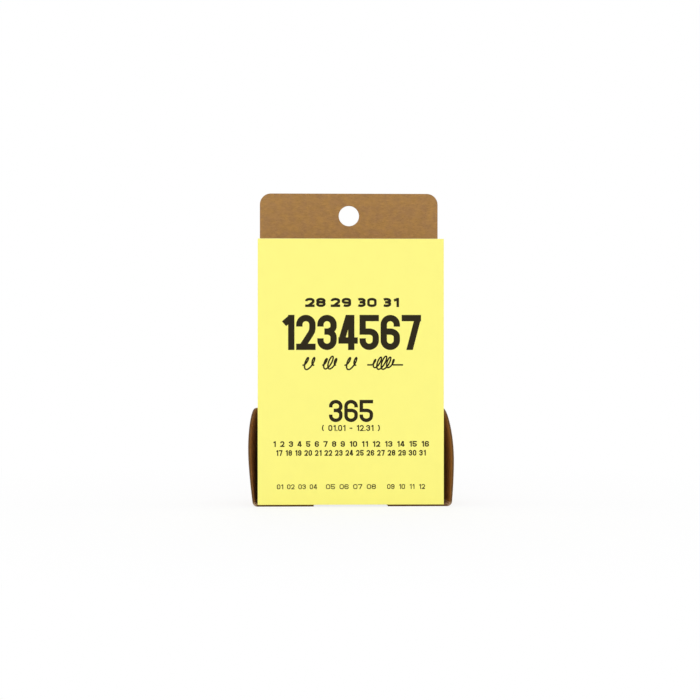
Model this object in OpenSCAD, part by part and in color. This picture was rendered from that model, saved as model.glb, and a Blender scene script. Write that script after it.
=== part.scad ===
// Tear-off calendar: a block of day leaves with a cover sheet, in a holder folded from one kraft card.
// The front faces -Y and +Z is up. The origin is at the bottom centre of the whole object. Millimetres.

/* [Leaves] */
// Width of a leaf
leaf_w = 70; // [60:1:90]
// Height of a leaf
leaf_h = 100; // [80:1:130]
// Number of day leaves in the block
leaf_count = 365; // [300:1:400]
// Thickness of one day leaf
leaf_t = 0.072; // [0.06:0.002:0.09]
// Thickness of the cover sheet
cover_t = 0.25; // [0.15:0.05:0.4]
// Play between the cover sheet and the first leaf
cover_gap = 0.05; // [0.02:0.01:0.2]

/* [Glue and tape] */
// Thickness of the padding glue along the block's top edge
glue_t = 0.12; // [0.08:0.02:0.4]
// Distance of the glue's front edge behind the first leaf, which lets the cover sheet turn
glue_setback = 0.4; // [0.3:0.1:2]
// Thickness of the double-sided tape behind the block
tape_t = 0.2; // [0.1:0.05:0.6]
// Width of the tape
tape_w = 50; // [20:1:58]
// Height of the tape
tape_h = 25; // [10:1:50]
// Distance of the tape's top edge below the block's top
tape_drop = 8; // [2:1:20]

/* [Kraft card] */
// Thickness of the card
card_t = 0.7; // [0.5:0.05:1]
// Inner bend radius of the folds at the board
fold_r = 0.3; // [0.25:0.05:0.5]

/* [Header] */
// Width of the header
header_w = 70; // [50:1:71]
// Height of the header above the leaves
header_rise = 19.7; // [15:0.1:35]
// Radius of the header's top corners
header_corner_r = 4.3; // [1:0.1:8]
// Diameter of the hang hole
hole_d = 8; // [4:0.5:10]
// Distance of the hole's centre below the header's top edge
hole_drop = 8.8; // [7:0.1:9.5]

/* [Ears] */
// Play between the block and each ear at the board
side_gap = 0.6; // [0.5:0.05:1.5]
// Height of an ear above the ground
ear_h = 36.2; // [30:0.1:40]
// Radius of an ear's front upper corner
ear_corner_r = 20.5; // [4:0.1:22]
// How far an ear's front edge stands out past its fold at its widest
ear_spread = 2.65; // [2.2:0.05:4]
// Height at which the left ear is widest
left_belly_z = 31.5; // [22:0.5:34]
// How far the left ear's foot is drawn in from its widest
left_foot_in = 2.2; // [0.5:0.1:2.2]
// Height at which the right ear is widest
right_belly_z = 19.5; // [14:0.5:32]
// How far the right ear's foot is drawn in from its widest
right_foot_in = 0.9; // [0.5:0.1:2]
// Inner bend radius of the fold at an ear's foot, at the front edge
foot_r = 1.2; // [0.4:0.1:1.2]

/* [Floor] */
// Play between the floor and the block
seat_gap = 0.05; // [0.02:0.01:0.2]
// Distance of the floor's and the ears' front edges behind the cover sheet's face
front_setback = 1; // [0:0.1:4]
// Width of the thumb notch
notch_w = 28; // [16:1:32]
// Length of the notch's straight sides before its round end
notch_straight = 3; // [0:0.5:6]

/* [Hidden] */
$fn = 96;
past = 1; // how far a cutting tool reaches past what it cuts

block_t = leaf_count * leaf_t;
depth = card_t + tape_t + block_t + cover_gap + cover_t;
back_y = depth / 2;
board_y = back_y - card_t;
block_back_y = board_y - tape_t;
block_front_y = block_back_y - block_t;
cover_back_y = block_front_y - cover_gap;
front_y = front_setback - depth / 2;

block_z = card_t + seat_gap;
block_top_z = block_z + leaf_h;
total_h = block_top_z + header_rise;

fold_outer_r = fold_r + card_t;
fold_y = back_y - fold_outer_r;
ear_in_x = leaf_w / 2 + side_gap;
ear_out_x = ear_in_x + card_t;
board_half_w = ear_in_x - fold_r;
floor_half_w = leaf_w / 2 - card_t / 2;
ear_depth = fold_y - front_y;

bend_steps = 8;
wall_steps = 14;
corner_steps = 14;

// Bow of each ear, as [the height at which it is widest, how far its foot is drawn in]
left_bow = [left_belly_z, left_foot_in];
right_bow = [right_belly_z, right_foot_in];

// How far an ear's outer face stands out past its fold, at height z and at the share s of its depth
function spread(z, s, bow) = s * (ear_spread - bow[1] * pow(z / bow[0] - 1, 2));

// Height of an ear's top edge at the share s of its depth: level, then down round the front corner
function ear_top(s) =
    let (past_corner = max(0, s * ear_depth - (ear_depth - ear_corner_r)))
    ear_h - ear_corner_r + sqrt(max(0, pow(ear_corner_r, 2) - pow(past_corner, 2)));

// Inner bend radius at an ear's foot, which widens from the board to the front edge
function foot_bend(s) = fold_r + s * (foot_r - fold_r);

// Outline of an ear's card at the share s of its depth, as [x, z] points: the foot turned in onto the
// floor, the bend, and the bowed wall up to the top edge, down the outside and up the inside
function ear_profile(s, bow) =
    let (r = foot_bend(s), outer = r + card_t, top = ear_top(s), x0 = ear_out_x - outer)
    let (bend_x = x0 + spread(outer, s, bow))
    let (wall = [for (i = [0 : wall_steps]) outer + i / wall_steps * (top - outer)])
    let (bend = [for (i = [1 : bend_steps - 1]) 90 * i / bend_steps])
    concat(
        [for (i = [wall_steps : -1 : 0]) [ear_out_x + spread(wall[i], s, bow), wall[i]]],
        [for (i = [bend_steps - 2 : -1 : 0]) [bend_x + outer * sin(bend[i]), outer - outer * cos(bend[i])]],
        [[bend_x, 0], [floor_half_w, 0], [floor_half_w, card_t], [bend_x, card_t]],
        [for (i = [0 : bend_steps - 2]) [bend_x + r * sin(bend[i]), outer - r * cos(bend[i])]],
        [for (i = [0 : wall_steps]) [ear_out_x - card_t + spread(wall[i], s, bow), wall[i]]]
    );

// Shares of an ear's depth at which its outline is set: even up to the corner, then round it
function ear_stations() =
    let (flat = 1 - ear_corner_r / ear_depth)
    concat(
        [for (i = [0 : 3]) flat * i / 4],
        [for (i = [0 : corner_steps]) flat + (1 - flat) * sin(90 * i / corner_steps)]
    );

// Skin over a row of outlines, each of them a bent strip whose points go down one side and up the other.
// The two end faces are cut into one four-sided face between each pair of facing points.
module loft_strip(rings) {
    n = len(rings[0]);
    last = (len(rings) - 1) * n;
    sides = [for (k = [0 : n : last - n], i = [0 : n - 1])
        let (j = (i + 1) % n) each [[k + i, k + j, k + n + j], [k + i, k + n + j, k + n + i]]];
    back_cap = [for (i = [0 : n / 2 - 2]) [i, n - 1 - i, n - 2 - i, i + 1]];
    front_cap = [for (i = [0 : n / 2 - 2]) [last + i, last + i + 1, last + n - 2 - i, last + n - 1 - i]];
    polyhedron(
        points = [for (ring = rings) each ring],
        faces = concat(back_cap, sides, front_cap),
        convexity = 6
    );
}

// Right ear's card in front of its fold, with its foot on the floor
module ear_wall(bow) {
    loft_strip([
        for (s = ear_stations())
            [for (p = ear_profile(s, bow)) [p[0], fold_y - s * ear_depth, p[1]]]
    ]);
}

// Points on a quarter of a circle about a centre, from one angle on to another
function quarter(centre, r, from, to) =
    [
        for (i = [0 : bend_steps])
            let (angle = from + (to - from) * i / bend_steps)
            centre + r * [cos(angle), sin(angle)]
    ];

// Section of a fold: a quarter ring about a centre, between +X and +Y
module fold_section() {
    polygon(concat(quarter([0, 0], fold_outer_r, 0, 90), quarter([0, 0], fold_r, 90, 0)));
}

// Upright fold between the board and the right ear
module side_fold() {
    translate([board_half_w, fold_y, fold_outer_r])
        linear_extrude(ear_h - fold_outer_r)
            fold_section();
}

// Board up to the ears' tops, the fold under it and the floor's middle, as one bent strip
module bent_strip() {
    bend = [fold_y, fold_outer_r];
    rotate([90, 0, 90])
        translate([0, 0, -floor_half_w])
            linear_extrude(2 * floor_half_w)
                polygon(concat(
                    [[front_y, card_t], [front_y, 0]],
                    quarter(bend, fold_outer_r, 270, 360),
                    [[back_y, ear_h], [board_y, ear_h]],
                    quarter(bend, fold_r, 360, 270)
                ));
}

// Back board above the fold, with the header and its rounded corners
module board() {
    translate([0, back_y, 0])
        rotate([90, 0, 0])
            linear_extrude(card_t) {
                for (side = [-1, 1])
                    translate([side * (board_half_w + floor_half_w) / 2, (fold_outer_r + ear_h) / 2])
                        square([board_half_w - floor_half_w, ear_h - fold_outer_r], center = true);
                translate([-header_w / 2, ear_h])
                    square([header_w, total_h - header_corner_r - ear_h]);
                translate([-header_w / 2 + header_corner_r, total_h - header_corner_r])
                    square([header_w - 2 * header_corner_r, header_corner_r]);
                for (side = [-1, 1])
                    translate([side * (header_w / 2 - header_corner_r), total_h - header_corner_r])
                        circle(r = header_corner_r);
            }
}

// Thumb notch through the floor's front edge: straight sides and a round end
module thumb_notch() {
    translate([0, front_y + notch_straight, -past]) {
        cylinder(d = notch_w, h = card_t + 2 * past);
        translate([-notch_w / 2, -notch_straight - past, 0])
            cube([notch_w, notch_straight + past, card_t + 2 * past]);
    }
}

// The folded kraft card: board and header, ears, floor and folds
module holder() {
    color("#a3794a")
        difference() {
            union() {
                board();
                bent_strip();
                side_fold();
                ear_wall(right_bow);
                mirror([1, 0, 0]) {
                    side_fold();
                    ear_wall(left_bow);
                }
            }
            thumb_notch();
            translate([0, back_y + past, total_h - hole_drop])
                rotate([90, 0, 0])
                    cylinder(d = hole_d, h = card_t + 2 * past);
        }
}

// The day leaves, glued into one block
module page_block() {
    color("#f4efe2")
        translate([-leaf_w / 2, block_front_y, block_z])
            cube([leaf_w, block_t, leaf_h]);
}

// Cover sheet, which turns up about its top edge
module cover_sheet() {
    color("#fdf785")
        translate([-leaf_w / 2, cover_back_y - cover_t, block_z])
            cube([leaf_w, cover_t, leaf_h]);
}

// Film of padding glue over the leaves' top edges
module binding_glue() {
    color("#e9e4d2")
        translate([-leaf_w / 2, block_front_y + glue_setback, block_top_z])
            cube([leaf_w, block_t - glue_setback, glue_t]);
}

// Double-sided tape between the board and the last leaf
module adhesive_strip() {
    color("#efe6c8")
        translate([-tape_w / 2, block_back_y, block_top_z - tape_drop - tape_h])
            cube([tape_w, tape_t, tape_h]);
}

holder();
page_block();
cover_sheet();
binding_glue();
adhesive_strip();
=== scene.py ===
"""Looks of a small tear-off calendar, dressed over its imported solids.

The kraft card holder, the block of day leaves, the yellow cover sheet with its print and the film of
padding glue are modelled here as meshes with node materials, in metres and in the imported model's frame.
"""

import logging
import math
import random
from dataclasses import dataclass, field
from enum import Enum

import bmesh
import bpy
from mathutils import Matrix, Vector
from mathutils.bvhtree import BVHTree


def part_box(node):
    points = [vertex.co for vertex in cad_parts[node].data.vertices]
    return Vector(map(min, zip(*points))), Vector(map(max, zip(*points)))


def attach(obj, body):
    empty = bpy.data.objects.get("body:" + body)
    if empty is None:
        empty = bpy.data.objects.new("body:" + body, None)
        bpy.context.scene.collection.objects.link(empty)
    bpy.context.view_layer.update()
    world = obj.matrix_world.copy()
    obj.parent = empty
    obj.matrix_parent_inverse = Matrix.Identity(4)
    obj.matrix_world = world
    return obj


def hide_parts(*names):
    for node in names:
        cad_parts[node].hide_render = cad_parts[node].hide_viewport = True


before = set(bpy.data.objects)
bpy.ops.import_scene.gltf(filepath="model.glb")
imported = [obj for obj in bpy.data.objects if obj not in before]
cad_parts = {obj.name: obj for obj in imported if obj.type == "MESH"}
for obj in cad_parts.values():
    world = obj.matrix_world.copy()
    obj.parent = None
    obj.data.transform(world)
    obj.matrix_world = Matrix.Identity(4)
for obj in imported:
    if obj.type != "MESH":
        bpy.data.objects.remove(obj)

MM = 0.001
IMAGE_PIXELS = 700
PIXELS_PER_MM = 2.66
# Names of the holder's point attributes: pale creases with painted highlight on the ears' feet, painted
# highlight on the cut edges, painted shade inside the ears; and of each leaf's tone.
CREASE_AND_HIGHLIGHT, CUT_HIGHLIGHT, PAINTED_SHADE, LEAF_TONE = "crease_and_highlight", "cut_highlight", "painted_shade", "leaf_tone"

log = logging.getLogger("calendar")

Colour = tuple[float, float, float]
Point = tuple[float, float]
Socket = bpy.types.NodeSocket


class Body(Enum):
    """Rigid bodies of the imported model."""

    BASE = "base"
    COVER = "cover"


class Slot(Enum):
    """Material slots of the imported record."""

    KRAFT_CARD = "kraft_card"
    LEAF_PAPER = "leaf_paper"
    COVER_PAPER = "cover_paper"
    PADDING_GLUE = "padding_glue"


def linear(red: int, green: int, blue: int) -> Colour:
    """Turns a screen's red, green and blue, from 0 to 255, into a shader's linear values from 0 to 1."""
    shares = (red / 255, green / 255, blue / 255)
    return tuple(s / 12.92 if s <= 0.04045 else ((s + 0.055) / 1.055) ** 2.4 for s in shares)


def shaded(colour: Colour, factor: float = 1.0) -> tuple[float, float, float, float]:
    """Returns a colour made darker or lighter by a factor, with a full alpha."""
    return (*(min(1.0, c * factor) for c in colour), 1.0)


@dataclass(frozen=True)
class Grain:
    """A noise whose range is stretched into a factor.

    Attributes:
        per_m: Features per metre.
        detail: Octaves of finer noise.
        low: Value of the noise that gives the least factor.
        high: Value of the noise that gives the most.
        most: Factor at high.
        least: Factor at low.
    """

    per_m: float
    detail: float
    low: float
    high: float
    most: float = 1
    least: float = 0


class Nodes:
    """A node tree under construction."""

    def __init__(self, tree: bpy.types.NodeTree) -> None:
        """Takes up a tree."""
        self.tree = tree

    def node(self, kind: str, **settings: object) -> bpy.types.Node:
        """Adds a node.

        Args:
            kind: Blender's name for the kind of node.
            **settings: Properties to set on it.

        Returns:
            The node.
        """
        made = self.tree.nodes.new(kind)
        for name, value in settings.items():
            setattr(made, name, value)
        return made

    def join(self, source: Socket, target: Socket) -> None:
        """Links one socket to another."""
        self.tree.links.new(source, target)

    def ramp(self, source: Socket, low: float, high: float, first: float, last: float) -> Socket:
        """Maps a factor's range onto another, and holds it there past the ends.

        Args:
            source: The factor.
            low: Value of the factor that gives first.
            high: Value of the factor that gives last.
            first: Result at low.
            last: Result at high.

        Returns:
            The socket with the result.
        """
        made = self.node("ShaderNodeMapRange")
        for name, value in (("From Min", low), ("From Max", high), ("To Min", first), ("To Max", last)):
            made.inputs[name].default_value = value
        self.join(source, made.inputs["Value"])
        return made.outputs["Result"]

    def combined(self, operation: str, first: Socket, second: Socket) -> Socket:
        """Combines two factors.

        Args:
            operation: Blender's name for what is worked out.
            first: One factor.
            second: The other.

        Returns:
            The socket with the result.
        """
        made = self.node("ShaderNodeMath", operation=operation)
        self.join(first, made.inputs[0])
        self.join(second, made.inputs[1])
        return made.outputs[0]

    def seen(self) -> Socket:
        """Returns 1 for the rays that show the surroundings plainly: from the camera or off a gloss."""
        path = self.node("ShaderNodeLightPath")
        return self.combined("MAXIMUM", path.outputs["Is Camera Ray"], path.outputs["Is Glossy Ray"])


class Shading(Nodes):
    """A material under construction: its node tree, its shader and the nodes that finishes share."""

    def __init__(self, name: str, roughness: float) -> None:
        """Starts a material.

        Args:
            name: The material's name.
            roughness: Roughness of the shader.
        """
        self.material = bpy.data.materials.new(name)
        self.material.use_nodes = True
        super().__init__(self.material.node_tree)
        self.shader = self.tree.nodes["Principled BSDF"]
        self.shader.inputs["Roughness"].default_value = roughness
        self.place = self.node("ShaderNodeTexCoord").outputs["Object"]

    def stretched(self, along_x: float, turn_y: float = 0.0) -> Socket:
        """Gives the object's own coordinates, scaled along X and then turned in the noise's own space.

        Args:
            along_x: The scale; below 1 a pattern grows long in X.
            turn_y: Turn about Y, in radians, which gives another layer of the same pattern.

        Returns:
            The socket with the coordinates.
        """
        mapping = self.node("ShaderNodeMapping")
        mapping.inputs["Scale"].default_value = (along_x, 1, 1)
        mapping.inputs["Rotation"].default_value = (0, turn_y, 0)
        self.join(self.place, mapping.inputs["Vector"])
        return mapping.outputs["Vector"]

    def noise(self, per_m: float, detail: float, vector: Socket | None = None) -> Socket:
        """Adds a noise.

        Args:
            per_m: Features per metre.
            detail: Octaves of finer noise.
            vector: Coordinates, or None for the object's own.

        Returns:
            The socket with the noise's factor.
        """
        made = self.node("ShaderNodeTexNoise")
        made.inputs["Scale"].default_value = per_m
        made.inputs["Detail"].default_value = detail
        self.join(vector or self.place, made.inputs["Vector"])
        return made.outputs["Fac"]

    def grain(self, grain: Grain, vector: Socket | None = None) -> Socket:
        """Adds a grain's factor, on the object's own coordinates unless others are given."""
        made = self.noise(grain.per_m, grain.detail, vector)
        return self.ramp(made, grain.low, grain.high, grain.least, grain.most)

    def blend(self, factor: Socket, under: Socket | tuple, over: Socket | tuple) -> Socket:
        """Mixes two colours.

        Args:
            factor: Share of the upper colour.
            under: The lower colour, as a socket or a value.
            over: The upper colour, as a socket or a value.

        Returns:
            The socket with the mixed colour.
        """
        made = self.node("ShaderNodeMix", data_type="RGBA")
        self.join(factor, made.inputs["Factor"])
        for name, value in (("A", under), ("B", over)):
            socket = next(s for s in made.inputs if s.name == name and s.type == "RGBA")
            if isinstance(value, Socket):
                self.join(value, socket)
            else:
                socket.default_value = value
        return next(s for s in made.outputs if s.type == "RGBA")

    def toned(self, factor: Socket, colour: Colour, dark: float, light: float) -> Socket:
        """Returns a colour between two tones of it, given as factors: dark where the factor is 0."""
        return self.blend(factor, shaded(colour, dark), shaded(colour, light))

    def attribute(self, name: str) -> Socket:
        """Returns the factor of one of the piece's own attributes."""
        return self.node("ShaderNodeAttribute", attribute_name=name).outputs["Fac"]

    def bump(self, height: Socket, depth: float) -> None:
        """Adds relief to the shader.

        Args:
            height: The relief's height, from 0 to 1.
            depth: Depth of the relief, in metres.
        """
        made = self.node("ShaderNodeBump")
        made.inputs["Distance"].default_value = depth
        made.inputs["Strength"].default_value = 1
        self.join(height, made.inputs["Height"])
        self.join(made.outputs["Normal"], self.shader.inputs["Normal"])


@dataclass(frozen=True)
class Finish:
    """A surface's finish, whose colour and relief each kind makes with its own nodes."""

    name: str
    roughness: float

    def paint(self, shading: Shading) -> Socket:
        """Makes the colour, and adds to the shader what else the finish has.

        Args:
            shading: The material under construction.

        Returns:
            The socket with the colour.
        """
        raise NotImplementedError

    def material(self) -> bpy.types.Material:
        """Builds the material.

        Returns:
            The material.
        """
        shading = Shading(self.name, self.roughness)
        shading.join(self.paint(shading), shading.shader.inputs["Base Color"])
        return shading.material


@dataclass(frozen=True)
class KraftFace(Finish):
    """Flat faces of unbleached kraft card: streaky brown with fibres and flecks, pale along the folds, with
    painted highlight on the ears' feet and painted shade inside the ears.

    Attributes:
        warm: The lighter of the two browns that mottle the card.
        cool: The other one.
        painted_shade_brown: Painted shade: a richer brown inside the ears and on their feet, where the leaves
            shade the card.
        fold_and_highlight: Pale colour of the creased and worn folds, also laid as painted highlight on the
            ears' feet.
        mottle: Patches of the two browns.
        cloud: Darker clouds.
        cloud_shade: Their shade of the cool brown.
        cloud_stretch: Their scale in X, below 1 for clouds wider than high.
        fibre: Fibres, laid once for each turn.
        fibre_stretch: Their scale in X, below 1 for long fibres.
        fibre_turns: Turn of each layer's noise, in radians, and the layer's shade of the warm brown.
        fleck: Dark flecks.
        fleck_shade: Their shade of the cool brown.
        cracks: How the creases break up.
        relief: Depth of the fibres' relief, in metres.
        relief_detail: Octaves of finer noise in the relief.
    """

    name: str = "kraft_face"
    roughness: float = 0.88
    warm: Colour = linear(174, 130, 70)
    cool: Colour = linear(165, 123, 74)
    painted_shade_brown: Colour = linear(182, 120, 36)
    fold_and_highlight: Colour = linear(232, 206, 178)
    mottle: Grain = Grain(320, 5, 0.36, 0.64)
    cloud: Grain = Grain(1100, 6, 0.36, 0.66, most=0.2)
    cloud_shade: float = 0.3
    cloud_stretch: float = 0.55
    fibre: Grain = Grain(5200, 2, 0.56, 0.76, most=0.4)
    fibre_stretch: float = 0.14
    fibre_turns: tuple[tuple[float, float], ...] = ((0.12, 0.5), (-0.2, 1.45))
    fleck: Grain = Grain(2300, 1, 0.64, 0.74, most=0.5)
    fleck_shade: float = 0.35
    cracks: Grain = Grain(1900, 5, 0.3, 0.6, least=0.55)
    relief: float = 0.03 * MM
    relief_detail: float = 4

    def paint(self, shading: Shading) -> Socket:
        """Lays the colour in layers, and adds the relief of the fibres.

        Args:
            shading: The material under construction.

        Returns:
            The socket with the colour.
        """
        shading.bump(shading.noise(self.fibre.per_m, self.relief_detail), self.relief)
        colour = shading.blend(shading.grain(self.mottle), shaded(self.cool), shaded(self.warm))
        # Painted shade: a richer brown where the ears turn towards the leaves and lie in their shade.
        colour = shading.blend(shading.attribute(PAINTED_SHADE), colour, shaded(self.painted_shade_brown))
        cloud = shading.grain(self.cloud, shading.stretched(self.cloud_stretch))
        colour = shading.blend(cloud, colour, shaded(self.cool, self.cloud_shade))
        for angle, shade in self.fibre_turns:
            fibre = shading.grain(self.fibre, shading.stretched(self.fibre_stretch, angle))
            colour = shading.blend(fibre, colour, shaded(self.warm, shade))
        colour = shading.blend(shading.grain(self.fleck), colour, shaded(self.cool, self.fleck_shade))
        # Pale creases, worn and cracked, and the painted highlight along the ears' feet and their front.
        worn_and_highlit = shading.combined("MULTIPLY", shading.attribute(CREASE_AND_HIGHLIGHT), shading.grain(self.cracks))
        return shading.blend(worn_and_highlit, colour, shaded(self.fold_and_highlight))


@dataclass(frozen=True)
class KraftCut(Finish):
    """Die-cut edges of the kraft card: dark brown, partly their own colour and partly painted shade, with
    painted highlight where a foot bends.
    """

    name: str = "kraft_cut"
    roughness: float = 0.95
    # Dark brown: partly the cut card's own colour, partly painted shade on edges under the leaves.
    colour: Colour = linear(100, 67, 27)
    # Painted highlight: the pale colour of a cut edge where light falls on a foot's bend.
    cut_highlight_colour: Colour = linear(160, 134, 106)
    tones: tuple[float, float] = (0.8, 1.2)
    plies: Grain = Grain(4300, 5, 0.3, 0.7)
    relief: float = 0.04 * MM

    def paint(self, shading: Shading) -> Socket:
        """Lays the painted highlight over the dark brown, and adds the relief of the plies.

        Args:
            shading: The material under construction.

        Returns:
            The socket with the colour.
        """
        plies = shading.grain(self.plies)
        shading.bump(plies, self.relief)
        colour = shading.toned(plies, self.colour, *self.tones)
        return shading.blend(shading.attribute(CUT_HIGHLIGHT), colour, shaded(self.cut_highlight_colour))


@dataclass(frozen=True)
class Paper(Finish):
    """Paper whose tone varies a little and whose tooth is a shade darker.

    Attributes:
        colour: Colour of the paper.
        tones: Its darkest and lightest tones, as factors of the colour.
        cloud: How the tone varies over the sheet, or None where each sheet has a tone of its own.
        tooth: The tooth.
        tooth_shade: Tone of the tooth, as a factor of the colour.
        relief: Depth of the tooth, in metres.
    """

    colour: Colour
    tones: tuple[float, float]
    cloud: Grain | None
    tooth: Grain
    tooth_shade: float
    relief: float

    def paint(self, shading: Shading) -> Socket:
        """Varies the tone, darkens the tooth and adds its relief.

        Args:
            shading: The material under construction.

        Returns:
            The socket with the colour.
        """
        shading.bump(shading.noise(self.tooth.per_m, self.tooth.detail), self.relief)
        factor = shading.grain(self.cloud) if self.cloud else shading.attribute(LEAF_TONE)
        colour = shading.toned(factor, self.colour, *self.tones)
        return shading.blend(shading.grain(self.tooth), colour, shaded(self.colour, self.tooth_shade))


COVER_PAPER = Paper(
    "cover_paper", 0.62, linear(254, 247, 129), (0.985, 1.0), Grain(160, 5, 0.3, 0.7),
    tooth=Grain(9000, 3, 0.62, 0.8, most=0.12), tooth_shade=0.9, relief=0.006 * MM,
)
LEAF_PAPER = Paper(
    "leaf_paper", 0.8, linear(240, 235, 222), (0.86, 1.04), None,
    tooth=Grain(7000, 3, 0.55, 0.8, most=0.15), tooth_shade=0.85, relief=0.01 * MM,
)


@dataclass(frozen=True)
class PrintInk(Finish):
    """Warm black printing ink, which lets a little of the paper's tooth through."""

    roughness: float = 0.7
    specular_level: float = 0.15
    colour: Colour = linear(40, 34, 14)
    wear: Grain = Grain(6500, 3, 0.62, 0.8, most=0.35)
    wear_tone: float = 2.2

    def paint(self, shading: Shading) -> Socket:
        """Returns the colour, and takes some of the gloss off."""
        shading.shader.inputs["Specular IOR Level"].default_value = self.specular_level
        return shading.toned(shading.grain(self.wear), self.colour, 1, self.wear_tone)


@dataclass(frozen=True)
class PaddingGlue(Finish):
    """Dried padding glue: milky, a little glossy, with brush marks along the block."""

    name: str = "padding_glue"
    roughness: float = 0.42
    colour: Colour = linear(232, 228, 212)
    tones: tuple[float, float] = (0.86, 1.05)
    marks_per_m: float = 1500
    marks_detail: float = 4
    marks_stretch: float = 0.08
    milkiness: float = 0.15
    milky_reach: tuple[float, float, float] = (0.4 * MM, 0.4 * MM, 0.3 * MM)
    relief: float = 0.05 * MM

    def paint(self, shading: Shading) -> Socket:
        """Tones the colour by the brush marks, and adds their relief and the milky depth.

        Args:
            shading: The material under construction.

        Returns:
            The socket with the colour.
        """
        along = shading.stretched(self.marks_stretch)
        marks = shading.noise(self.marks_per_m, self.marks_detail, along)
        shading.bump(marks, self.relief)
        shading.shader.inputs["Subsurface Weight"].default_value = self.milkiness
        shading.shader.inputs["Subsurface Radius"].default_value = self.milky_reach
        return shading.toned(marks, self.colour, *self.tones)


@dataclass(frozen=True)
class TapeFilm(Finish):
    """Double-sided tape: pale yellow film with faint streaks."""

    name: str = "tape_film"
    roughness: float = 0.5
    colour: Colour = linear(236, 226, 190)
    tones: tuple[float, float] = (0.9, 1.02)
    streaks_per_m: float = 900
    streaks_detail: float = 3
    streaks_stretch: float = 0.1

    def paint(self, shading: Shading) -> Socket:
        """Tones the colour by the streaks.

        Args:
            shading: The material under construction.

        Returns:
            The socket with the colour.
        """
        along = shading.stretched(self.streaks_stretch)
        streaks = shading.noise(self.streaks_per_m, self.streaks_detail, along)
        return shading.toned(streaks, self.colour, *self.tones)


def put_in_scene(name: str, mesh: bmesh.types.BMesh, materials: list[bpy.types.Material]) -> bpy.types.Object:
    """Makes a finished bmesh an object at the origin.

    Args:
        name: The piece's name.
        mesh: The bmesh, which is freed.
        materials: Its materials, in the order of its faces' material numbers.

    Returns:
        The new object.
    """
    data = bpy.data.meshes.new(name)
    mesh.to_mesh(data)
    mesh.free()
    for material in materials:
        data.materials.append(material)
    piece = bpy.data.objects.new(name, data)
    bpy.context.scene.collection.objects.link(piece)
    return piece


def close_down(film: bmesh.types.BMesh, level: float) -> None:
    """Gives an open drawing its sides and its underside.

    Args:
        film: The drawing, a layer of faces.
        level: Height of the underside.
    """
    drawn = bmesh.ops.extrude_face_region(film, geom=film.faces[:], use_keep_orig=True)["geom"]
    for vert in (item for item in drawn if isinstance(item, bmesh.types.BMVert)):
        vert.co.z = level
    bmesh.ops.recalc_face_normals(film, faces=film.faces)


def finish_piece(piece: bpy.types.Object, body: Body, slot: Slot, *stands_for: str) -> None:
    """Ties a piece to its body, hides the solids that it replaces, and logs it.

    Args:
        piece: The piece.
        body: The body that it moves with.
        slot: The record's material slot; not used.
        *stands_for: The solids that it replaces.
    """
    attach(piece, body.value)
    if stands_for:
        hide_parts(*stands_for)
    log.info("%s rides on %s: %d faces", piece.name, body.value, len(piece.data.polygons))


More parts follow.
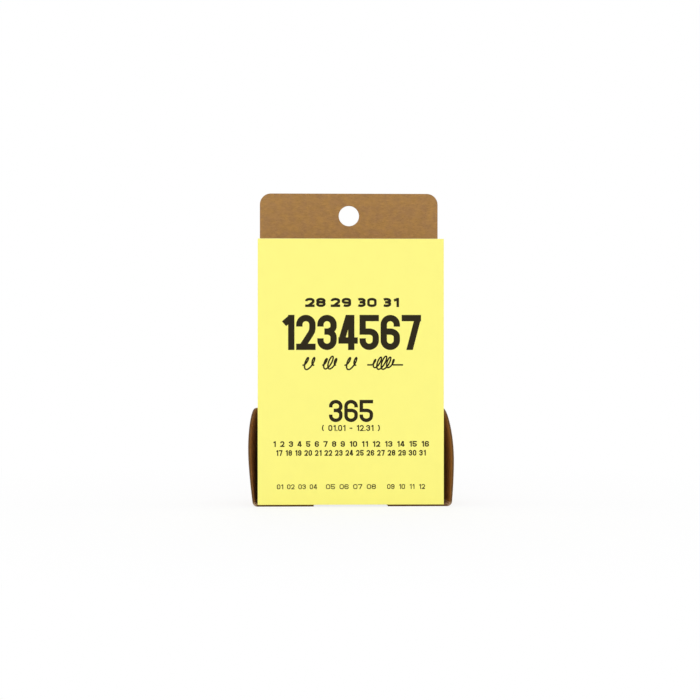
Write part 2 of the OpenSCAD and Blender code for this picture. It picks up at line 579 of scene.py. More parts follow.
@dataclass
class KraftHolder:
    """The folded kraft card: its faces, its die-cut edges, the creases along its folds, and where it takes
    painted highlight and painted shade.

    Attributes:
        card_t: Thickness of the card, in metres, as are the other lengths.
        fold_r: Inner radius of the folds at the board, and of an ear's foot at the back.
        foot_r: Inner radius of an ear's foot at the front.
        leaf_side: Distance of the leaves' sides from the middle.
        ear_top: Height of the ears.
        weld: Distance under which the copied solid's points become one.
        flat_deg: Angle under which faces count as one.
        sharp_deg: Angle from which an edge shows as an edge.
        behind: How far under a face the search for the card's other side starts, in thicknesses.
        reach: How far it goes, in thicknesses.
        thick: Distance to the other side above which a face is a cut edge, in thicknesses.
        near: Distance within which a point counts as on the lip or at the front edge.
        grounded: Height under which a point counts as on the ground.
        fold_reach: How far the paleness of a fold reaches.
        fold_paleness: Its share of the pale colour at the fold's middle.
        bend_middle: Height of the middle of a quarter bend's outer side, as a share of its radius.
        foot_highlight_reach: How far the pale line on a foot's bend reaches, partly the scored crease's wear
            and partly painted highlight.
        lip_highlight_reach: How far back the painted highlight on the front of a foot's top reaches.
        lip_highlight_share: Its share of the pale colour at the front, as painted highlight.
        highlight_rise_deg: Turn of the foot's bend over which the painted highlight on its cut edge grows.
        highlight_fall_deg: Turn over which it fades again.
        highlight_end_deg: Turn at which it is gone.
        painted_shade_slope: How far a face has to lean towards the leaves or up to take the painted shade.
        low: Lowest corner of the holder.
        high: Its highest corner.
    """

    card_t: float = 0.7 * MM
    fold_r: float = 0.3 * MM
    foot_r: float = 1.2 * MM
    leaf_side: float = 35 * MM
    ear_top: float = 36.2 * MM
    weld: float = 0.002 * MM
    flat_deg: float = 0.4
    sharp_deg: float = 35
    behind: float = 0.02
    reach: float = 2
    thick: float = 1.25
    near: float = 0.1 * MM
    grounded: float = 0.01 * MM
    fold_reach: float = 1.0 * MM
    fold_paleness: float = 0.45
    bend_middle: float = 0.293
    foot_highlight_reach: float = 0.3 * MM
    lip_highlight_reach: float = 2.2 * MM
    lip_highlight_share: float = 0.75
    highlight_rise_deg: float = 25
    highlight_fall_deg: float = 40
    highlight_end_deg: float = 95
    painted_shade_slope: float = 0.3
    low: Vector = field(default_factory=lambda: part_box("holder")[0])
    high: Vector = field(default_factory=lambda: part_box("holder")[1])

    def is_cut(self, face: bmesh.types.BMFace, tree: BVHTree) -> bool:
        """Tells a die-cut edge from a face of the card, by what lies one card thickness behind it.

        Args:
            face: A face of the holder.
            tree: Search tree over the holder's faces.

        Returns:
            True where no face of the card lies behind at the card's thickness.
        """
        start = face.calc_center_median() - face.normal * self.card_t * self.behind
        distance = tree.ray_cast(start, -face.normal, self.card_t * self.reach)[3]
        return distance is None or distance > self.card_t * self.thick

    def fold_sides(self) -> list[tuple[Vector, Vector]]:
        """Gives planes beside the folds, where the card is cut so that the paler folds stay narrow.

        Returns:
            A point on each plane and its normal.
        """
        bend = self.fold_r + self.card_t
        up, right, back = Vector((0, 0, 1)), Vector((1, 0, 0)), Vector((0, 1, 0))
        sides = [(up * (bend + self.fold_reach), up), (back * (self.high.y - bend - self.fold_reach), back)]
        for side in (-1, 1):
            sides.append((right * side * (self.leaf_side - self.fold_r - self.fold_reach), right))
        return sides

    @property
    def foot_top(self) -> float:
        """Height below which an ear's foot and its bend lie."""
        return 3 * self.foot_r

    def in_ear(self, point: Vector) -> bool:
        """Tells whether a point lies in an ear or its foot."""
        return abs(point.x) > self.leaf_side - self.card_t

    def foot_bend(self, point: Vector) -> float:
        """Gives the inner bend radius of an ear's foot at a point's depth.

        Args:
            point: The point.

        Returns:
            The radius, in metres.
        """
        fold_y = self.high.y - self.fold_r - self.card_t
        share = (fold_y - point.y) / (fold_y - self.low.y)
        return self.fold_r + min(1.0, max(0.0, share)) * (self.foot_r - self.fold_r)

    def crease_and_highlight_at(self, point: Vector) -> float:
        """Tells how pale the card is at a point: worn along its folds, and with painted highlight on an ear's
        foot.

        Args:
            point: A point on the card's faces.

        Returns:
            The share of the pale colour, from 0 away from the folds to 1 halfway round a foot's bend.
        """
        from_back, from_front = self.high.y - point.y, point.y - self.low.y
        side_x = self.leaf_side + self.fold_r * 2
        off_back = max(0.0, from_back - self.card_t)
        upright = math.hypot(abs(point.x) - side_x, off_back) if point.z < self.ear_top else math.inf
        along_floor = math.hypot(off_back, max(0.0, point.z - self.card_t))
        paleness = max(0.0, self.fold_paleness * (1 - min(upright, along_floor) / self.fold_reach))
        if not self.in_ear(point) or point.z > self.foot_top:
            return paleness
        bend = self.foot_bend(point)
        inner_z, outer_z = self.card_t + 0.5 * bend, self.bend_middle * (bend + self.card_t)
        # A pale line round the foot's bend: partly the scored crease's wear, partly painted highlight.
        foot = 1 - min(abs(point.z - inner_z), abs(point.z - outer_z)) / self.foot_highlight_reach
        # Painted highlight on the front of the foot's top, fading towards the back.
        on_lip = abs(point.z - self.card_t) < self.near
        lip_highlight = self.lip_highlight_share * (1 - from_front / self.lip_highlight_reach) if on_lip else 0
        return max(paleness, foot, lip_highlight)

    def foot_end(self, card: bmesh.types.BMesh, side: int) -> float:
        """Finds how far out the flat of a foot reaches at its front edge.

        Args:
            card: The holder.
            side: 1 for the right foot and -1 for the left.

        Returns:
            The distance from the middle, in metres.
        """
        front = [vert.co for vert in card.verts if vert.co.y < self.low.y + self.near]
        return max(spot.x * side for spot in front if spot.z < self.grounded)

    def cut_highlight_at(self, point: Vector, foot_end: float) -> float:
        """Tells how much painted highlight the cut edge takes at a point: most in the middle of a foot's
        bend.

        Args:
            point: A point on the card.
            foot_end: How far out the foot's flat reaches.

        Returns:
            The share of the painted highlight's pale colour.
        """
        outer_r = self.foot_r + self.card_t
        turned = math.degrees(math.atan2(abs(point.x) - foot_end, outer_r - point.z))
        rise, fall = turned / self.highlight_rise_deg, (self.highlight_end_deg - turned) / self.highlight_fall_deg
        return min(1.0, max(0.0, rise)) * min(1.0, max(0.0, fall))

    def takes_painted_shade(self, face: bmesh.types.BMFace) -> bool:
        """Tells whether a face of an ear turns towards the leaves, where it takes the painted shade.

        Args:
            face: A face of the card.

        Returns:
            True for the inside of an ear and the upper side of its foot.
        """
        middle, side = face.calc_center_median(), face.normal.x
        inward = side * middle.x < 0 and abs(side) > self.painted_shade_slope
        on_foot = face.normal.z > self.painted_shade_slope and middle.z < self.foot_top
        return self.in_ear(middle) and (inward or on_foot)

    def build(self) -> None:
        """Builds the holder from a copy of its solid, with its faces, cut edges and folds told apart."""
        card = bmesh.new()
        card.from_mesh(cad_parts["holder"].data)
        bmesh.ops.remove_doubles(card, verts=card.verts, dist=self.weld)
        flat = math.radians(self.flat_deg)
        bmesh.ops.dissolve_limit(card, angle_limit=flat, verts=card.verts, edges=card.edges)
        for place, across in self.fold_sides():
            geometry = [*card.verts, *card.edges, *card.faces]
            bmesh.ops.bisect_plane(card, geom=geometry, plane_co=place, plane_no=across)
        bmesh.ops.triangulate(card, faces=[f for f in card.faces if len(f.verts) > 4])
        card.normal_update()
        tree = BVHTree.FromBMesh(card)
        for face in card.faces:
            face.material_index = int(self.is_cut(face, tree))
            face.smooth = True
        sharp = math.radians(self.sharp_deg)
        for edge in card.edges:
            edge.smooth = len(edge.link_faces) == 2 and edge.calc_face_angle(0.0) < sharp
        # Per point: pale creases with painted highlight, painted highlight on the cut edges, painted shade in
        # the ears.
        crease_and_highlight, cut_highlight, painted_shade = (card.verts.layers.float.new(name) for name in (CREASE_AND_HIGHLIGHT, CUT_HIGHLIGHT, PAINTED_SHADE))
        foot_ends = {True: self.foot_end(card, 1), False: self.foot_end(card, -1)}
        for vert in card.verts:
            vert[crease_and_highlight] = self.crease_and_highlight_at(vert.co)
            vert[cut_highlight] = self.cut_highlight_at(vert.co, foot_ends[vert.co.x > 0])
            faces = [face for face in vert.link_faces if face.material_index == 0]
            vert[painted_shade] = any(self.takes_painted_shade(face) for face in faces)
        piece = put_in_scene("kraft_holder", card, [KraftFace().material(), KraftCut().material()])
        finish_piece(piece, Body.BASE, Slot.KRAFT_CARD, "holder")


@dataclass
class LeafBlock:
    """The day leaves as thin sheets, each trimmed a hair differently from the next.

    Attributes:
        leaves: Number of leaves.
        trim: Most that a leaf is short of its solid at either side or at its foot, in metres.
        fill: Thickness of a leaf, as a share of its place in the block.
        start_trim: Share of the trim with which the first leaf starts.
        start_drift: Tone with which the drift starts, from 0 to 1.
        trim_step: Most that the share changes from leaf to leaf.
        drift_step: Most that the drift changes from leaf to leaf.
        drift_share: How much of a leaf's tone comes from the drift. The rest is chance.
        seed: Seed of the chance.
        low: Lowest corner of the block's solid.
        high: Its highest corner.
    """

    leaves: int = 365
    trim: float = 0.05 * MM
    fill: float = 0.97
    start_trim: float = 0.3
    start_drift: float = 0.6
    trim_step: float = 0.5
    drift_step: float = 0.2
    drift_share: float = 0.35
    seed: int = 12
    low: Vector = field(default_factory=lambda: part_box("page_block")[0])
    high: Vector = field(default_factory=lambda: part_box("page_block")[1])

    def wander(self, chance: random.Random, before: float, step: float) -> float:
        """Moves a share by a random step up or down, and keeps it between 0 and 1."""
        return min(1.0, max(0.0, before + chance.uniform(-step, step)))

    def build(self) -> None:
        """Builds the block, leaf by leaf from the front."""
        chance = random.Random(self.seed)
        block = bmesh.new()
        tone_layer = block.verts.layers.float.new(LEAF_TONE)
        pitch = (self.high.y - self.low.y) / self.leaves
        trims, drift = [self.start_trim] * 3, self.start_drift
        for number in range(self.leaves):
            left, right, foot = trims = [self.wander(chance, trim, self.trim_step) for trim in trims]
            drift = self.wander(chance, drift, self.drift_step)
            tone = self.drift_share * drift + (1 - self.drift_share) * chance.random()
            near = self.low.y + number * pitch
            low = Vector((self.low.x + left * self.trim, near, self.low.z + foot * self.trim))
            high = Vector((self.high.x - right * self.trim, near + pitch * self.fill, self.high.z))
            place = Matrix.Translation((low + high) / 2) @ Matrix.Diagonal((*(high - low), 1))
            corners = bmesh.ops.create_cube(block, size=1, matrix=place)["verts"]
            for corner in corners:
                corner[tone_layer] = 1.0 if number == 0 else tone
        piece = put_in_scene("leaf_block", block, [LEAF_PAPER.material()])
        finish_piece(piece, Body.BASE, Slot.LEAF_PAPER, "page_block")


@dataclass
class CoverSheet:
    """The yellow cover sheet, a hair thinner than its solid so that the print stays within it.

    Attributes:
        print_room: How much thinner the sheet is, in metres.
        edge_round: Width of its rounded edges, in metres.
        low: Lowest corner of the sheet's solid.
        high: Its highest corner.
    """

    print_room: float = 0.02 * MM
    edge_round: float = 0.03 * MM
    low: Vector = field(default_factory=lambda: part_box("cover_sheet")[0])
    high: Vector = field(default_factory=lambda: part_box("cover_sheet")[1])

    @property
    def face_y(self) -> float:
        """Depth at which the printed face lies."""
        return self.low.y + self.print_room

    def build(self) -> None:
        """Builds the sheet with softly rounded edges."""
        low = Vector((self.low.x, self.face_y, self.low.z))
        place = Matrix.Translation((low + self.high) / 2) @ Matrix.Diagonal((*(self.high - low), 1))
        sheet = bmesh.new()
        bmesh.ops.create_cube(sheet, size=1, matrix=place)
        bmesh.ops.bevel(
            sheet, geom=sheet.edges[:], offset=self.edge_round, offset_type="OFFSET", segments=2,
            profile=0.5, affect="EDGES", material=-1,
        )
        piece = put_in_scene("cover_paper_sheet", sheet, [COVER_PAPER.material()])
        finish_piece(piece, Body.COVER, Slot.COVER_PAPER, "cover_sheet")


@dataclass(frozen=True)
class GothicPen:
    """Draws condensed gothic figures as strokes of an even pen.

    A figure's own measures run between the middles of its outer strokes, from its lower left.

    Attributes:
        width: Width of a full figure, in millimetres.
        height: Height of the figures, in millimetres.
        pen: Width of the pen, in millimetres.
        steps: Steps in a quarter turn of a bowl.
        mitre: Limit of the mitres: at a bend the pen grows no wider than its width over this.
        same: Distance under which a stroke's two ends are one, in millimetres.
    """

    width: float
    height: float
    pen: float
    steps: int = 7
    mitre: float = 0.4
    same: float = 1e-6

    @property
    def wide(self) -> float:
        """Distance between the middles of a figure's side strokes."""
        return self.width - self.pen

    @property
    def tall(self) -> float:
        """Distance between the middles of a figure's foot and top strokes."""
        return self.height - self.pen

    @property
    def bow_depth(self) -> float:
        """How far a bracket bows out."""
        return 0.24 * self.tall

    def ink_width(self, figure: str) -> float:
        """Gives the width that a figure's ink takes.

        Args:
            figure: A digit, a dash, a dot or a bracket.

        Returns:
            The width, in millimetres.
        """
        bow = self.bow_depth / self.wide
        narrow = {"1": 0.55, "-": 0.55, "(": bow, ")": bow, ".": 0}
        return narrow.get(figure, 1) * self.wide + self.pen

    def turn(self, centre: Point, radii: Point, start: float, end: float) -> list[Point]:
        """Gives points on a bowl.

        Args:
            centre: The bowl's centre.
            radii: Its radii across and up.
            start: Angle at which it starts, in degrees.
            end: Angle at which it ends, in degrees.

        Returns:
            The points.
        """
        count = max(2, round(abs(end - start) / 90 * self.steps))
        angles = [math.radians(start + (end - start) * i / count) for i in range(count + 1)]
        return [(centre[0] + radii[0] * math.cos(a), centre[1] + radii[1] * math.sin(a)) for a in angles]

    def strokes(self, figure: str) -> list[list[Point]]:
        """Gives a figure's strokes.

        Args:
            figure: A digit, a dash, a dot or a bracket.

        Returns:
            The middle line of each stroke. A stroke that ends where it starts is a closed loop.
        """
        wide, tall, half = self.wide, self.tall, self.pen / 2
        across, up = wide / 2, min(wide / 2, tall * 0.24)
        inner = min(wide / 2, tall * 0.19)
        mid, hook = tall * 0.53, tall * 0.07
        heavy = self.pen > tall * 0.3
        cut = 40 if heavy else 0
        over = self.turn((across, tall - up), (across, up), 180, 0)
        under = self.turn((across, up), (across, up), 0, -180)
        waist = self.turn((across, mid - inner), (across, inner), 90, 0)
        lead = [] if heavy else [(0, tall - up - hook)]
        cap = [*lead, *self.turn((across, tall - up), (across, up), 180 - cut, 0)]
        tail = [(wide - x, y) for x, y in cap]
        cup = [(x, tall - y) for x, y in reversed(cap)]
        if figure == "0":
            return [[*over, *under, over[0]]]
        if figure == "1":
            stem = wide * 0.55
            return [[(stem, -half), (stem, tall + half)], [(stem, tall * 1.02), (0, tall * 0.8)]]
        if figure == "2":
            neck = [(wide, tall * 0.64), (wide * 0.96, tall * 0.54), (wide * 0.84, tall * 0.44)]
            sweep = [(0, tall - up - hook), *over, *neck, (wide * 0.06, -half)]
            return [sweep, [(-half, 0), (wide + half, 0)]]
        if figure == "3":
            fall = self.turn((across, mid + inner), (across, inner), 0, -90)
            return [[*cap, *fall, (wide * 0.3, mid)], [(wide * 0.3, mid), *waist, *cup]]
        if figure == "4":
            stem, bar = wide * 0.74, tall * 0.22
            slope = [(0, bar), (stem - half * 0.4, tall + self.pen)]
            return [[(stem, -half), (stem, tall + half)], [(-half, bar), (wide + half, bar)], slope]
        if figure == "5":
            return [[(wide + half, tall), (0, tall), (0, mid), *waist, *cup]]
        if figure == "6":
            around = self.turn((across, up), (across, up), 180, 360)
            close = self.turn((across, mid - inner), (across, inner), 0, 90)
            return [[*tail, *around, *close, (half, mid)]]
        if figure == "7":
            return [[(-half, tall), (wide + half, tall)], [(wide, tall), (wide * 0.3, -self.pen)]]
        if figure == "8":
            lift = self.turn((across, mid - inner), (across, inner), 180, 0)
            sink = self.turn((across, mid + inner), (across, inner), 0, -180)
            return [[*lift, *under, lift[0]], [*over, *sink, over[0]]]
        if figure == "9":
            return [[(wide - x, tall - y) for x, y in stroke] for stroke in self.strokes("6")]
        if figure == "-":
            return [[(-half, tall * 0.45), (wide * 0.55 + half, tall * 0.45)]]
        if figure == ".":
            return [[(0, -half), (0, half)]]
        bow = self.turn((self.bow_depth * 1.6, tall / 2), (self.bow_depth * 1.6, tall * 0.66), 110, 250)
        return [bow if figure == "(" else [(self.bow_depth - x, y) for x, y in bow]]

    def pen_edges(self, path: list[Point], index: int) -> tuple[Vector, Vector]:
        """Gives the pen's two edges at a point of its path, mitred where the path bends.

        Args:
            path: The path.
            index: The point's number.

        Returns:
            The edges to the left and to the right of the path.
        """
        closed = math.dist(path[0], path[-1]) < self.same
        before = path[index - 1] if index else (path[-2] if closed else None)
        after = path[index + 1] if index + 1 < len(path) else (path[1] if closed else None)
        here = Vector(path[index])
        came = (here - Vector(before)).normalized() if before else None
        goes = (Vector(after) - here).normalized() if after else came
        came = came or goes
        ahead = (came + goes).normalized()
        aside = Vector((-ahead.y, ahead.x)) * (self.pen / 2 / max(self.mitre, ahead.dot(goes)))
        return here + aside, here - aside

    def ribbon(self, drawing: bmesh.types.BMesh, path: list[Point], left: float, level: float) -> None:
        """Draws a stroke: an edge as wide as the pen is extruded from point to point.

        Args:
            drawing: The drawing, flat and in millimetres.
            path: The stroke's middle line.
            left: Where the figure's lower left goes, in millimetres.
            level: Height of the ink over the paper, in millimetres.
        """
        spots = [[(left + e.x, e.y, level) for e in self.pen_edges(path, i)] for i in range(len(path))]
        edge = drawing.edges.new([drawing.verts.new(spot) for spot in spots[0]])
        for before, after in zip(spots, spots[1:]):
            made = bmesh.ops.extrude_edge_only(drawing, edges=[edge])["geom"]
            edge = next(item for item in made if isinstance(item, bmesh.types.BMEdge))
            ends = sorted(edge.verts, key=lambda vert: (vert.co - Vector(before[0])).length)
            for vert, spot in zip(ends, after):
                vert.co = spot


@dataclass(frozen=True)
class NumberRow:
    """A row of plain printed numbers.

    Attributes:
        name: Name of the printed row.
        figures: The numbers.
        width: Width of the row, in millimetres.
        centre_x: Middle of the row, in millimetres from the sheet's middle.
        foot_z: Foot of the figures, in millimetres above the sheet's lower edge.
        pen: The pen that draws them.
        gap_per_pen: Room between two figures of a number, as a share of the pen's width.
        gap_per_width: What is added to it, as a share of a figure's width.
    """

    name: str
    figures: str
    width: float
    centre_x: float
    foot_z: float
    pen: GothicPen
    gap_per_pen: float = 0.34
    gap_per_width: float = 0.07

    def places(self) -> list[float]:
        """Spreads the figures over the row's width.

        Returns:
            Where each figure's ink starts, in millimetres from the row's left. Spaces take up the room
            that is left, or the gaps between the figures where the row has no space.
        """
        inks = [0 if f == " " else self.pen.ink_width(f) for f in self.figures]
        gap = self.gap_per_pen * self.pen.pen + self.gap_per_width * self.pen.width
        joins = sum(1 for a, b in zip(self.figures, self.figures[1:]) if " " not in (a, b))
        spaces = self.figures.count(" ")
        if spaces:
            space = (self.width - sum(inks) - gap * joins) / spaces
        else:
            space, gap = 0, (self.width - sum(inks)) / max(1, joins)
        starts, x = [], 0.0
        for index, figure in enumerate(self.figures):
            starts.append(x)
            x += space if figure == " " else inks[index]
            following = self.figures[index + 1 : index + 2]
            if following and " " not in (figure, following):
                x += gap
        return starts


@dataclass(frozen=True)
class Rule:
    """A plain printed line.

    Attributes:
        name: Name of the printed line.
        width: Its length, in millimetres.
        height: How thick it is, in millimetres.
        centre_x: Its middle, in millimetres from the sheet's middle.
        foot_z: Its lower side, in millimetres above the sheet's lower edge.
    """

    name: str
    width: float
    height: float
    centre_x: float
    foot_z: float


@dataclass(frozen=True)
class Flourish:
    """A pen flourish: coils of slanting loops, the last of them between two level strokes.

    Attributes:
        name: Name of the printed flourish.
        groups: Each group's left and right end, in millimetres from the flourish's left, and its loops.
        width: Width of the flourish, in millimetres.
        height: Height of the tallest loop, in millimetres.
        centre_x: Middle of the flourish, in millimetres from the sheet's middle.
        foot_z: Its foot, in millimetres above the sheet's lower edge.
        pen: Width of the pen, in millimetres.
        slant: How far the loops lean over for their height.
        loop_share: Width of the loops for their height.
        least: Size of the first and last loops, as a share of the middle ones'.
        steps: Steps in a loop.
        lead: Length of the level stroke before the last group, in millimetres.
    """

    name: str
    groups: tuple[tuple[float, float, int], ...]
    width: float
    height: float
    centre_x: float
    foot_z: float
    pen: float = 0.58
    slant: float = 0.4
    loop_share: float = 0.42
    least: float = 0.3
    steps: int = 24
    lead: float = 1.8

    def lines(self) -> list[list[Point]]:
        """Gives the middle line of each group: a coil that swells from its ends to its middle.

        Returns:
            The lines, in millimetres from the flourish's lower left.
        """
        drawn = []
        for number, (start, end, loops) in enumerate(self.groups):
            turns, line = loops * self.steps, []
            for step in range(turns + 1):
                share = step / turns
                size = self.least + (1 - self.least) * math.sin(math.pi * share)
                swell = size * (self.height - self.pen) / 2
                angle = math.pi * (2 * loops * share - 0.5)
                y = self.height / 2 + swell * math.sin(angle)
                x = start + (end - start) * share + self.loop_share * swell * math.cos(angle)
                line.append((x + self.slant * (y - self.height / 2), y))
            if number == len(self.groups) - 1:
                line = [(start - self.lead, line[0][1]), *line, (self.width, line[-1][1])]
            drawn.append(line)
        return drawn


@dataclass
class Press:
    """Prints numbers, rules and flourishes in thin ink on a sheet that faces the viewer.

    Attributes:
        sheet_low: The sheet's lower left corner, in metres.
        sheet_width: The sheet's width, in metres.
        face_y: Depth of the sheet's printed face, in metres.
        ink: The ink.
        body: The body that the sheet moves with.
        slot: The record's material slot of the sheet.
        film: Thickness of the ink, in millimetres.
        overprint: How much higher the ink lies where a figure's next stroke crosses, in millimetres.
        weld: Distance under which the pen's points become one, in millimetres.
    """

    sheet_low: Vector
    sheet_width: float
    face_y: float
    ink: bpy.types.Material
    body: Body
    slot: Slot
    film: float = 0.01
    overprint: float = 0.0015
    weld: float = 0.0008

    def place(self, centre_x: float, foot_z: float) -> Matrix:
        """Places a flat drawing in millimetres, x to the right and y up, on the sheet.

        Args:
            centre_x: Where the drawing's middle goes, in millimetres from the sheet's middle.
            foot_z: Where its foot goes, in millimetres above the sheet's lower edge.

        Returns:
            The matrix from the drawing to the frame.
        """
        corner = Vector((self.sheet_low.x + self.sheet_width / 2, self.face_y, self.sheet_low.z))
        shift = Vector((centre_x * MM, 0, foot_z * MM))
        return Matrix.Translation(corner + shift) @ Matrix.Rotation(math.pi / 2, 4, "X") @ Matrix.Scale(MM, 4)

    def stamp(self, name: str, drawing: bmesh.types.BMesh, place: Matrix) -> None:
        """Gives a flat drawing its film of ink down to the paper and lays it on the sheet.

        Args:
            name: The printed piece's name.
            drawing: The drawing, flat and in millimetres, at the height of its ink.
            place: Where it goes.
        """
        bmesh.ops.remove_doubles(drawing, verts=drawing.verts, dist=self.weld)
        close_down(drawing, 0)
        bmesh.ops.transform(drawing, matrix=place, verts=drawing.verts)
        finish_piece(put_in_scene(name, drawing, [self.ink]), self.body, self.slot)

    def number_row(self, row: NumberRow) -> None:
        """Prints a row of numbers, trimmed level at its top and foot.

        Args:
            row: The row.
        """
        drawing, half = bmesh.new(), row.pen.pen / 2
        for figure, start in zip(row.figures, row.places()):
            if figure == " ":
                continue
            left = start + half - row.width / 2
            for order, stroke in enumerate(row.pen.strokes(figure)):
                row.pen.ribbon(drawing, stroke, left, self.film + self.overprint * order)
        for height, side in ((-half, -1), (row.pen.tall + half, 1)):
            geometry = [*drawing.verts, *drawing.edges, *drawing.faces]
            bmesh.ops.bisect_plane(
                drawing, geom=geometry, plane_co=(0, height, 0), plane_no=(0, side, 0), clear_outer=True
            )
        self.stamp(row.name, drawing, self.place(row.centre_x, row.foot_z + half))

    def rule(self, line: Rule) -> None:
        """Prints a plain line.

        Args:
            line: The line.
        """
        drawing = bmesh.new()
        middle = Matrix.Translation((0, line.height / 2, self.film))
        size = Matrix.Diagonal((line.width, line.height, 1, 1))
        bmesh.ops.create_grid(drawing, x_segments=1, y_segments=1, size=0.5, matrix=middle @ size)
        self.stamp(line.name, drawing, self.place(line.centre_x, line.foot_z))

    def flourish(self, swash: Flourish) -> None:
        """Prints a flourish: round pen lines, pressed flat.

        Args:
            swash: The flourish.
        """
        lines = bpy.data.curves.new(swash.name, "CURVE")
        lines.dimensions = "3D"
        lines.bevel_depth = swash.pen / 2
        lines.bevel_resolution = 3
        lines.use_fill_caps = True
        for line in swash.lines():
            spline = lines.splines.new("POLY")
            spline.points.add(len(line) - 1)
            for point, (x, y) in zip(spline.points, line):
                point.co = (x - swash.width / 2, y, 0, 1)
        drawn = bpy.data.objects.new(swash.name, lines)
        bpy.context.scene.collection.objects.link(drawn)
        bpy.context.view_layer.update()
        tube = bpy.data.meshes.new_from_object(drawn.evaluated_get(bpy.context.evaluated_depsgraph_get()))
        bpy.data.objects.remove(drawn)
        drawing = bmesh.new()
        drawing.from_mesh(tube)
        pressed = Matrix.Diagonal((1, 1, self.film / swash.pen, 1))
        place = self.place(swash.centre_x, swash.foot_z) @ Matrix.Translation((0, 0, self.film / 2))
        bmesh.ops.transform(drawing, matrix=place @ pressed, verts=drawing.verts)
        finish_piece(put_in_scene(swash.name, drawing, [self.ink]), self.body, self.slot)


@dataclass
class CoverPrint:
    """Generic print on the cover: plain numbers and a flourish, at the scale of a calendar's cover.

    Attributes:
        sheet: The cover sheet.
        rows: The rows of numbers.
        swash: The flourish.
    """

    sheet: CoverSheet
    rows: tuple[NumberRow, ...] = (
        NumberRow("print_month_lengths", "28 29 30 31", 35.3, 0.45, 74.3, GothicPen(3.55, 3.45, 0.96)),
        NumberRow("print_weekdays", "1234567", 52.7, 0.05, 58.15, GothicPen(7.3, 13.2, 2.38, 9)),
        NumberRow("print_year_days", "365", 16.6, 0.05, 31.05, GothicPen(5.1, 8.35, 1.32, 9)),
        NumberRow("print_date_span", "( 01.01 - 12.31 )", 21.8, 0.0, 27.7, GothicPen(1.5, 2.25, 0.42, 4)),
        NumberRow(
            "print_days_one", "1 2 3 4 5 6 7 8 9 10 11 12 13 14 15 16", 58.7, 0.05, 21.75,
            GothicPen(1.6, 2.15, 0.46, 4),
        ),
        NumberRow(
            "print_days_two", "17 18 19 20 21 22 23 24 25 26 27 28 29 30 31", 56.4, 0.0, 18.4,
            GothicPen(1.32, 2.15, 0.44, 4),
        ),
        NumberRow("print_quarter_left", "01 02 03 04", 15.1, -20.25, 5.85, GothicPen(1.3, 1.85, 0.32, 4)),
        NumberRow("print_quarter_mid", "05 06 07 08", 18.8, 0.0, 5.85, GothicPen(1.6, 1.85, 0.32, 4)),
        NumberRow("print_quarter_right", "09 10 11 12", 14.3, 20.75, 5.85, GothicPen(1.3, 1.85, 0.32, 4)),
    )
    swash: Flourish = Flourish(
        "print_flourish", ((1.2, 5.6, 2), (8.6, 13.8, 3), (17.0, 21.4, 2), (27.0, 35.6, 5)),
        width=38.7, height=5.6, centre_x=0.25, foot_z=50.5,
    )

    def build(self) -> None:
        """Prints the cover."""
        ink = PrintInk("cover_ink").material()
        low, high = self.sheet.low, self.sheet.high
        press = Press(low, high.x - low.x, self.sheet.face_y, ink, Body.COVER, Slot.COVER_PAPER)
        for row in self.rows:
            press.number_row(row)
        press.flourish(self.swash)


@dataclass
class FirstLeafPrint:
    """Print of the first day leaf, which shows when the cover is lifted: its number and memo rules.

    Attributes:
        block: The block of leaves.
        number: The day's number.
        month: The month's number.
        head_rule: The line between the two.
        memo_rule: Length and thickness of a memo line, in millimetres.
        memo_lines: Number of memo lines.
        memo_foot: Height of the lowest one, in millimetres above the leaf's lower edge.
        memo_pitch: Distance from one to the next, in millimetres.
    """

    block: LeafBlock
    number: NumberRow = NumberRow("print_day", "1", 11.9, -1.0, 50, GothicPen(18, 32, 4.4, 9))
    month: NumberRow = NumberRow("print_month", "01", 5.2, -28.4, 89.5, GothicPen(2.8, 4.2, 0.7))
    head_rule: Rule = Rule("print_head_rule", 62, 0.5, 0, 87)
    memo_rule: tuple[float, float] = (62, 0.15)
    memo_lines: int = 5
    memo_foot: float = 8
    memo_pitch: float = 7

    def build(self) -> None:
        """Prints the leaf."""
        ink = PrintInk("leaf_ink", colour=linear(46, 42, 40)).material()
        low, high = self.block.low, self.block.high
        press = Press(low, high.x - low.x, low.y, ink, Body.BASE, Slot.LEAF_PAPER)
        press.number_row(self.number)
        press.number_row(self.month)
        press.rule(self.head_rule)
        for line in range(self.memo_lines):
            height = self.memo_foot + line * self.memo_pitch
            press.rule(Rule(f"print_memo_rule_{line + 1}", *self.memo_rule, 0, height))


@dataclass
class GlueFilm:
    """The film of padding glue over the leaves' top edges, brushed on a little unevenly.

    Attributes:
        uneven: Depth of the brush marks, in metres.
        marks_share: How much of it comes from marks that run along the block. The rest is chance.
        cells_x: Cells of the grid along the block.
        cells_y: Cells of the grid across it.
        seed: Seed of the chance.
        low: Lowest corner of the film's solid.
        high: Its highest corner.
    """

    uneven: float = 0.05 * MM
    marks_share: float = 0.6
    cells_x: int = 90
    cells_y: int = 34
    seed: int = 5
    low: Vector = field(default_factory=lambda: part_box("binding_glue")[0])
    high: Vector = field(default_factory=lambda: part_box("binding_glue")[1])

    def build(self) -> None:
        """Builds the film as a grid whose top is roughened, closed down to the leaves."""
        chance = random.Random(self.seed)
        size = self.high - self.low
        film = bmesh.new()
        place = Matrix.Translation((self.low + self.high) / 2) @ Matrix.Diagonal((size.x, size.y, 1, 1))
        top = bmesh.ops.create_grid(
            film, x_segments=self.cells_x, y_segments=self.cells_y, size=0.5, matrix=place
        )
        marks = [chance.random() for _ in range(self.cells_y + 1)]
        for vert in top["verts"]:
            mark = marks[round((vert.co.y - self.low.y) / size.y * self.cells_y)]
            dip = self.marks_share * mark + (1 - self.marks_share) * chance.random()
            vert.co.z = self.high.z - self.uneven * dip
        close_down(film, self.low.z)
        piece = put_in_scene("glue_film", film, [PaddingGlue().material()])
        finish_piece(piece, Body.BASE, Slot.PADDING_GLUE, "binding_glue")


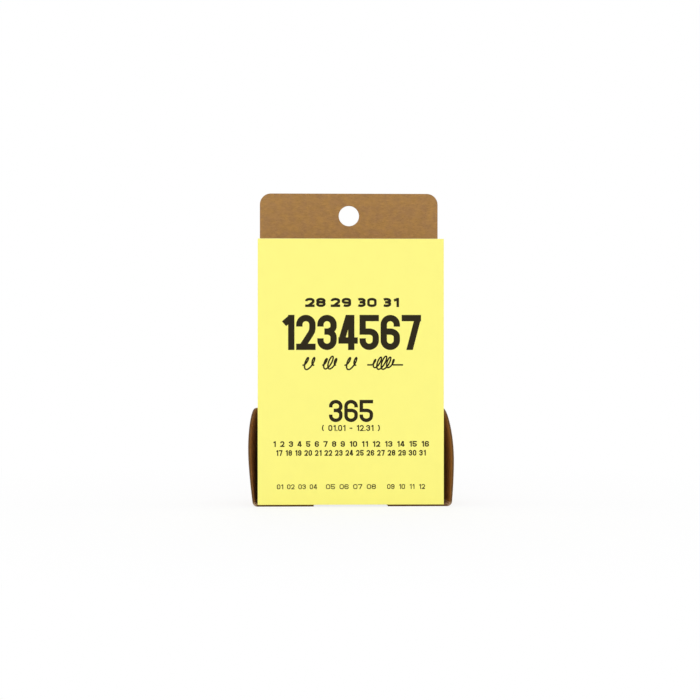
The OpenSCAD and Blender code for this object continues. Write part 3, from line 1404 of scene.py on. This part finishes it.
@dataclass
class Tape:
    """The double-sided tape behind the block, which keeps its solid."""

    def dress(self) -> None:
        """Gives the tape its film."""
        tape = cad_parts["adhesive_strip"]
        tape.data.materials.clear()
        tape.data.materials.append(TapeFilm().material())
        log.info("adhesive_strip keeps its solid")


@dataclass(frozen=True)
class SoftLamp:
    """A soft square lamp.

    Attributes:
        name: The lamp's name.
        place: Where it hangs, in metres.
        watts: Its power.
        size: Its width, in metres.
    """

    name: str
    place: tuple[float, float, float]
    watts: float
    size: float = 0.5

    def hang(self, aim: Vector) -> None:
        """Hangs the lamp.

        Args:
            aim: The point that it faces.
        """
        light = bpy.data.lights.new(self.name, "AREA")
        light.shape = "SQUARE"
        light.size = self.size
        light.energy = self.watts
        lamp = bpy.data.objects.new(self.name, light)
        lamp.location = self.place
        lamp.rotation_euler = (aim - lamp.location).to_track_quat("-Z", "Y").to_euler()
        bpy.context.scene.collection.objects.link(lamp)


@dataclass
class Studio:
    """Pale floor, soft light and the camera at the photograph's viewing angle.

    Attributes:
        camera_distance: Distance of the camera from the cover's face, in metres.
        camera_x: How far right of the middle it stands, in metres.
        aim_x: How far right of the middle it aims on the cover, in metres.
        eye_z: Height of the camera and of its aim, in metres.
        mm_per_frame: Width of the frame in the cover's plane, in millimetres.
        sensor_mm: Width of the camera's sensor, in millimetres.
        clip_start: Distance from which the camera sees, in metres.
        floor_size: Width of the floor, in metres.
        floor_drop: How far the floor lies under the object, in metres.
        floor_grey: Grey of the floor, from 0 to 1.
        world_level: Strength of the light from all round.
        shadow_share: How much of the floor's white the shadow can take near the object.
        shadow_from: Distance from the origin up to which it takes that, in metres.
        shadow_to: Distance at which the floor is white, in metres.
        lamps: The lamps.
    """

    camera_distance: float = 565 * MM
    camera_x: float = -17 * MM
    aim_x: float = -0.35 * MM
    eye_z: float = 58.9 * MM
    mm_per_frame: float = IMAGE_PIXELS / PIXELS_PER_MM
    sensor_mm: float = 36
    clip_start: float = 10 * MM
    floor_size: float = 6.0
    floor_drop: float = 0.02 * MM
    floor_grey: float = 0.92
    world_level: float = 0.6
    shadow_share: float = 0.2
    shadow_from: float = 50 * MM
    shadow_to: float = 220 * MM
    lamps: tuple[SoftLamp, ...] = (
        SoftLamp("front_left_lamp", (-0.17, -0.92, 0.33), 1.75),
        SoftLamp("front_right_lamp", (0.2, -0.92, 0.33), 0.8),
        SoftLamp("left_lamp", (-0.9, 0.05, 0.35), 1.6),
        SoftLamp("right_lamp", (0.9, 0.05, 0.35), 1.6),
        SoftLamp("back_lamp", (0, 0.9, 0.35), 1.8),
        SoftLamp("top_lamp", (0, 0.05, 1.0), 1.2),
    )

    def floor(self) -> None:
        """Lays the pale floor: white to the camera, with the object's soft shadow round its foot."""
        ground = bmesh.new()
        bmesh.ops.create_grid(ground, x_segments=1, y_segments=1, size=self.floor_size / 2)
        shading = Shading("studio_floor", roughness=0.9)
        shading.shader.inputs["Base Color"].default_value = (*[self.floor_grey] * 3, 1)
        away = shading.node("ShaderNodeVectorMath", operation="LENGTH")
        shading.join(shading.place, away.inputs[0])
        near, far = self.shadow_from, self.shadow_to
        white = shading.ramp(away.outputs["Value"], near, far, 1 - self.shadow_share, 1)
        glow = shading.node("ShaderNodeEmission")
        mix = shading.node("ShaderNodeMixShader")
        shading.join(shading.combined("MULTIPLY", shading.seen(), white), mix.inputs[0])
        shading.join(shading.shader.outputs[0], mix.inputs[1])
        shading.join(glow.outputs[0], mix.inputs[2])
        shading.join(mix.outputs[0], shading.tree.nodes["Material Output"].inputs["Surface"])
        piece = put_in_scene("studio_floor", ground, [shading.material])
        piece.location.z = -self.floor_drop

    def world(self) -> None:
        """Sets the even light that comes from all round, white to the camera."""
        world = bpy.data.worlds.new("studio_world")
        bpy.context.scene.world = world
        world.use_nodes = True
        nodes = Nodes(world.node_tree)
        back = nodes.tree.nodes["Background"]
        back.inputs["Color"].default_value = (1, 1, 1, 1)
        nodes.join(nodes.ramp(nodes.seen(), 0, 1, self.world_level, 1), back.inputs["Strength"])

    def camera(self, front_y: float) -> None:
        """Sets the camera level, a little to the left, and aimed at the cover.

        Args:
            front_y: Depth of the cover's face, in metres.
        """
        lens = bpy.data.cameras.new("camera")
        eye = Vector((self.camera_x, front_y - self.camera_distance, self.eye_z))
        aim = Vector((self.aim_x, front_y, self.eye_z))
        lens.sensor_width = self.sensor_mm
        lens.lens = self.sensor_mm * (aim - eye).length / (self.mm_per_frame * MM)
        lens.clip_start = self.clip_start
        camera = bpy.data.objects.new("camera", lens)
        camera.location = eye
        camera.rotation_euler = (aim - eye).to_track_quat("-Z", "Y").to_euler()
        bpy.context.scene.collection.objects.link(camera)
        bpy.context.scene.camera = camera

    def build(self, front_y: float) -> None:
        """Sets up the studio.

        Args:
            front_y: Depth of the cover's face, in metres.
        """
        bpy.context.scene.view_settings.view_transform = "Standard"
        self.floor()
        self.world()
        for lamp in self.lamps:
            lamp.hang(Vector((0, 0, self.eye_z)))
        self.camera(front_y)


def corners(box: tuple) -> list[list[float]]:
    """Returns a box as two plain lists of numbers."""
    return [[float(value) for value in corner] for corner in box]


def main() -> None:
    """Builds every piece of the calendar and the studio."""
    logging.basicConfig(level=logging.INFO, format="%(message)s")
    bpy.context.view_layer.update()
    KraftHolder().build()
    Tape().dress()
    block = LeafBlock()
    block.build()
    FirstLeafPrint(block).build()
    GlueFilm().build()
    sheet = CoverSheet()
    sheet.build()
    CoverPrint(sheet).build()
    Studio().build(sheet.low.y)


if __name__ == "__main__":
    main()
